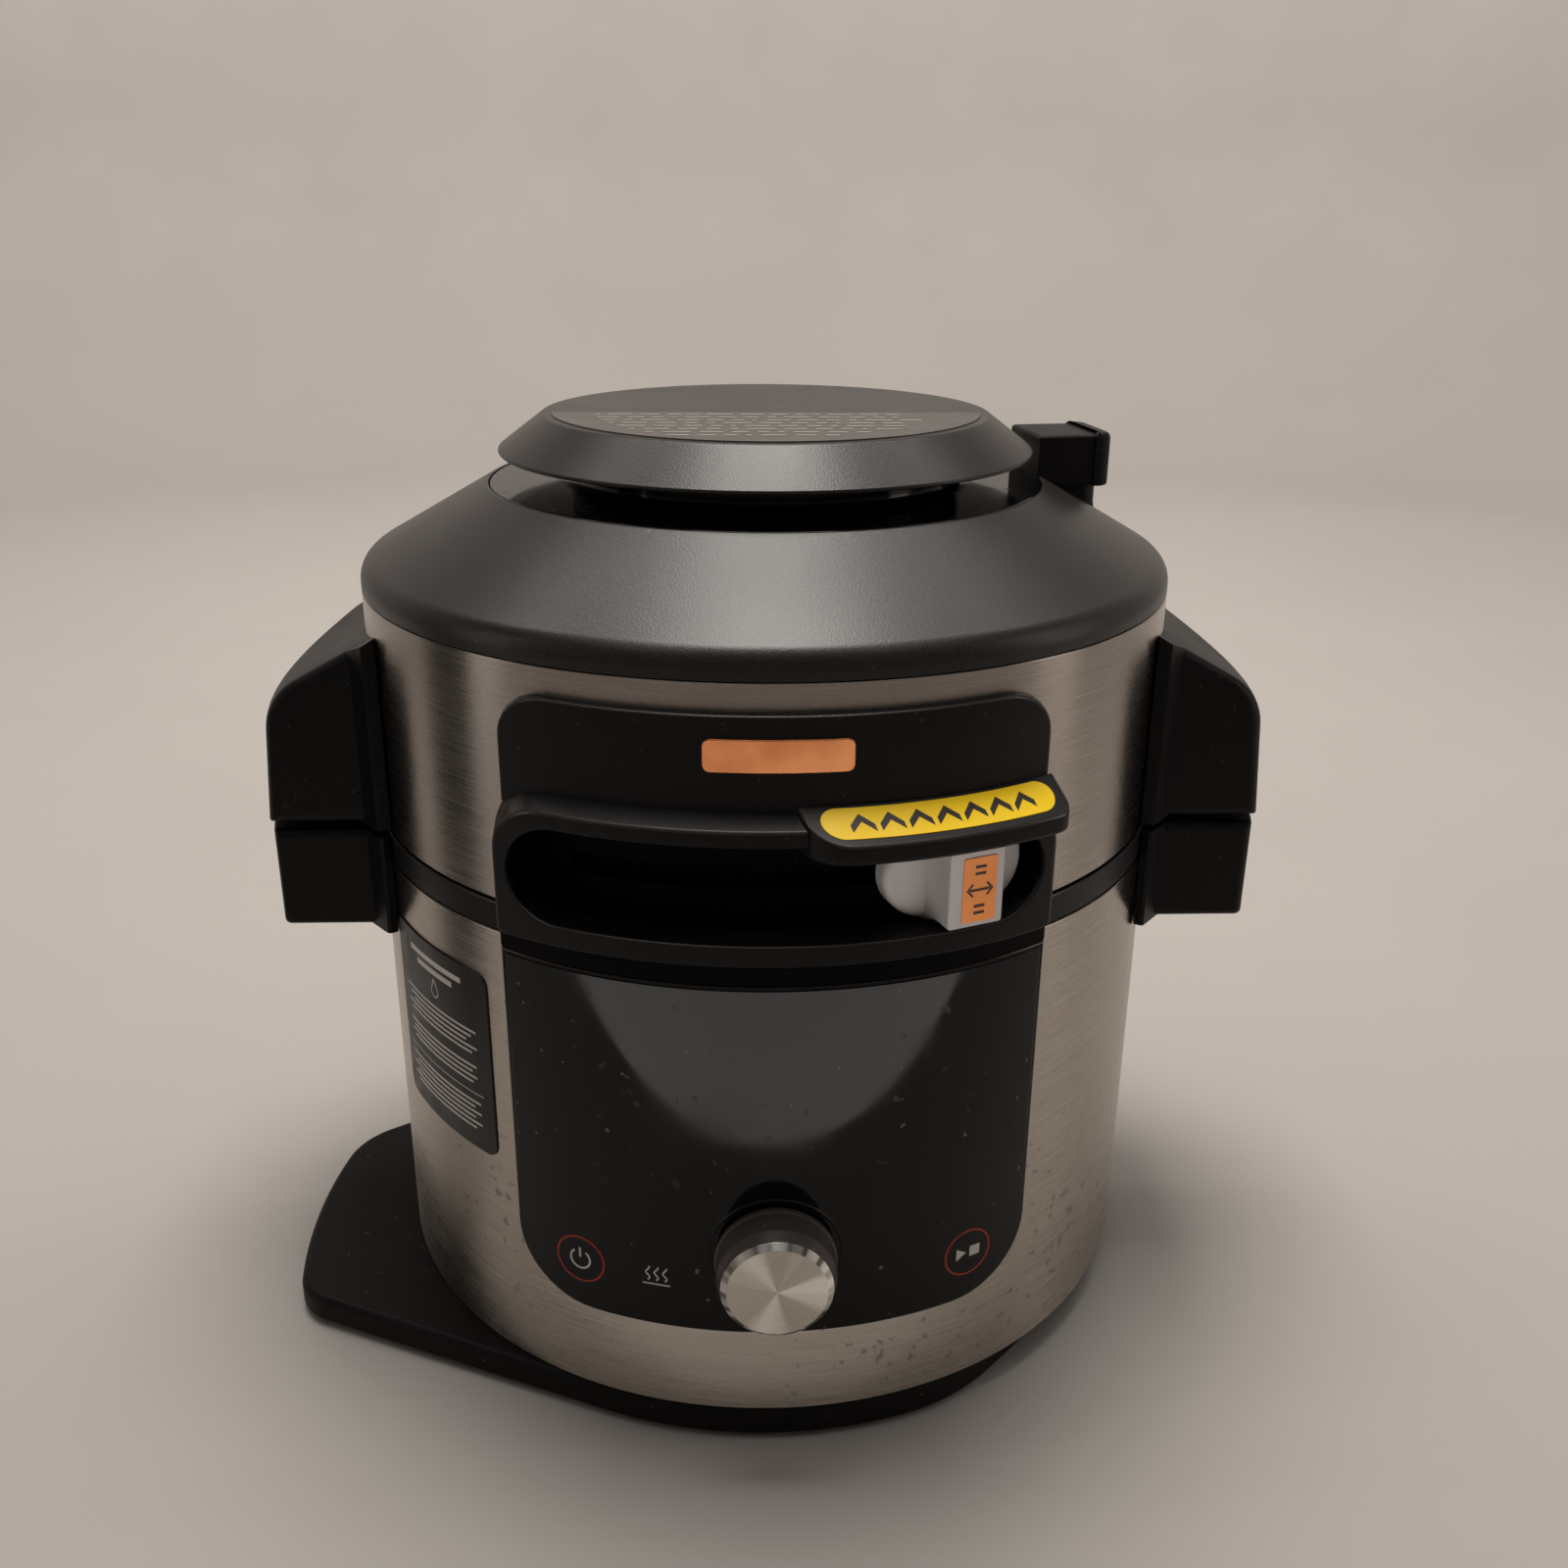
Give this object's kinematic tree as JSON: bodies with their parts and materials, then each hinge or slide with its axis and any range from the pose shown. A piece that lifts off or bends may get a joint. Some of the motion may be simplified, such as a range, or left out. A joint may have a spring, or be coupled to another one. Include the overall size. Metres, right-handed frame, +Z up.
{
  "type": "electric pressure cooker",
  "caption": "Round steel-clad countertop pressure cooker with a hinged fan lid, side handles, mode slider, lift tab, glossy control panel and dial, on a plate with a stabilising foot.",
  "frame": {"origin": "on the body's axis at floor level, the bottom centre of the overall box", "axes": "+Z up along the body's axis, -Y towards the control panel, +X to the right seen from the front"},
  "size_m": [0.4, 0.36, 0.36],
  "materials": {
    "matte_black": "fine moulded texture",
    "charcoal": "satin with a fine spark texture",
    "gloss_black": "polished",
    "brushed_steel": "brushed round the drum",
    "polished_steel": "polished",
    "spun_cap": "spun face with a bright chamfer",
    "aluminium": "as cast",
    "pot_coating": "dark ceramic coating",
    "silver_plastic": "silver moulded plastic",
    "rubber": "matte",
    "silicone": "translucent silicone",
    "circuit_board": "solder mask",
    "yellow_sticker": "vinyl",
    "orange_sticker": "paper label",
    "copper_badge": "copper coloured plating",
    "label_black": "vinyl",
    "heater_metal": "heat darkened",
    "dark_coil": "heat darkened"
  },
  "bodies": {
    "base": {"base_plate": "matte_black", "foot_front_right": "rubber", "foot_front_left": "rubber", "foot_rear_right": "rubber", "foot_rear_left": "rubber", "foot_side": "rubber", "base_screw_1": "polished_steel", "base_screw_2": "polished_steel", "base_screw_3": "polished_steel", "base_wrap": "brushed_steel", "inner_housing": "matte_black", "base_rim": "matte_black", "control_panel": "gloss_black", "control_board": "circuit_board", "dial_encoder": "polished_steel", "power_board": "circuit_board", "liner_well": "aluminium", "heater_plate": "heater_metal", "sensor_spring": "polished_steel", "cooking_pot": "pot_coating", "handle_base_right": "matte_black", "handle_base_left": "matte_black", "hinge_bracket": "matte_black", "hinge_pin": "polished_steel", "cord_gland": "rubber", "reminder_label": "label_black", "collector_bracket": "matte_black"},
    "lid": {"lid_body": "matte_black", "lid_wrap": "brushed_steel", "lid_cover": "charcoal", "vent_ring": "gloss_black", "top_cap": "charcoal", "cap_label": "label_black", "lid_panel": "matte_black", "slot_track": "gloss_black", "lift_tab": "matte_black", "lift_label": "yellow_sticker", "badge_plate": "copper_badge", "steam_vent_housing": "matte_black", "steam_duct": "aluminium", "anti_clog_cap": "polished_steel", "handle_lid_right": "matte_black", "handle_lid_left": "matte_black", "hinge_arm": "matte_black", "lid_liner": "aluminium", "sealing_gasket": "silicone", "motor_plate": "brushed_steel", "fan_motor": "polished_steel", "heating_coil": "dark_coil", "coil_guard": "polished_steel"},
    "slider": {"slider_knob": "silver_plastic", "slider_label": "orange_sticker", "locking_ring": "polished_steel"},
    "dial": {"dial_knob": "matte_black", "dial_cap": "spun_cap"},
    "fan": {"fan_impeller": "aluminium", "cooling_fan": "matte_black"},
    "float": {"float_valve": "polished_steel"},
    "sensor": {"sensor_button": "aluminium"},
    "cup": {"condensation_cup": "gloss_black"}
  },
  "joints": [
    {"name": "lid_hinge", "type": "hinge", "parent": "base", "child": "lid", "pos_m": [-0.05331, 0.15932, 0.213], "axis": [-0.9483, -0.3173, 0], "range_deg": [0, 80]},
    {"name": "mode_slider", "type": "hinge", "parent": "lid", "child": "slider", "pos_m": [0, 0, 0.229], "axis": [0, 0, 1], "range_deg": [-44, 0]},
    {"name": "dial_spin", "type": "hinge", "parent": "base", "child": "dial", "pos_m": [0, -0.17, 0.085], "axis": [0, -1, 0], "continuous": true},
    {"name": "fan_spin", "type": "hinge", "parent": "lid", "child": "fan", "pos_m": [0, 0, 0.268], "axis": [0, 0, 1], "continuous": true},
    {"name": "float_lift", "type": "slide", "parent": "lid", "child": "float", "axis": [0, 0, 1], "range_m": [0, 0.003]},
    {"name": "sensor_press", "type": "slide", "parent": "base", "child": "sensor", "axis": [0, 0, -1], "range_m": [0, 0.001], "stiffness_N_per_m": 300, "springref_m": -0.002},
    {"name": "cup_pull", "type": "slide", "parent": "base", "child": "cup", "axis": [0, 1, 0], "range_m": [0, 0.04]}
  ]
}
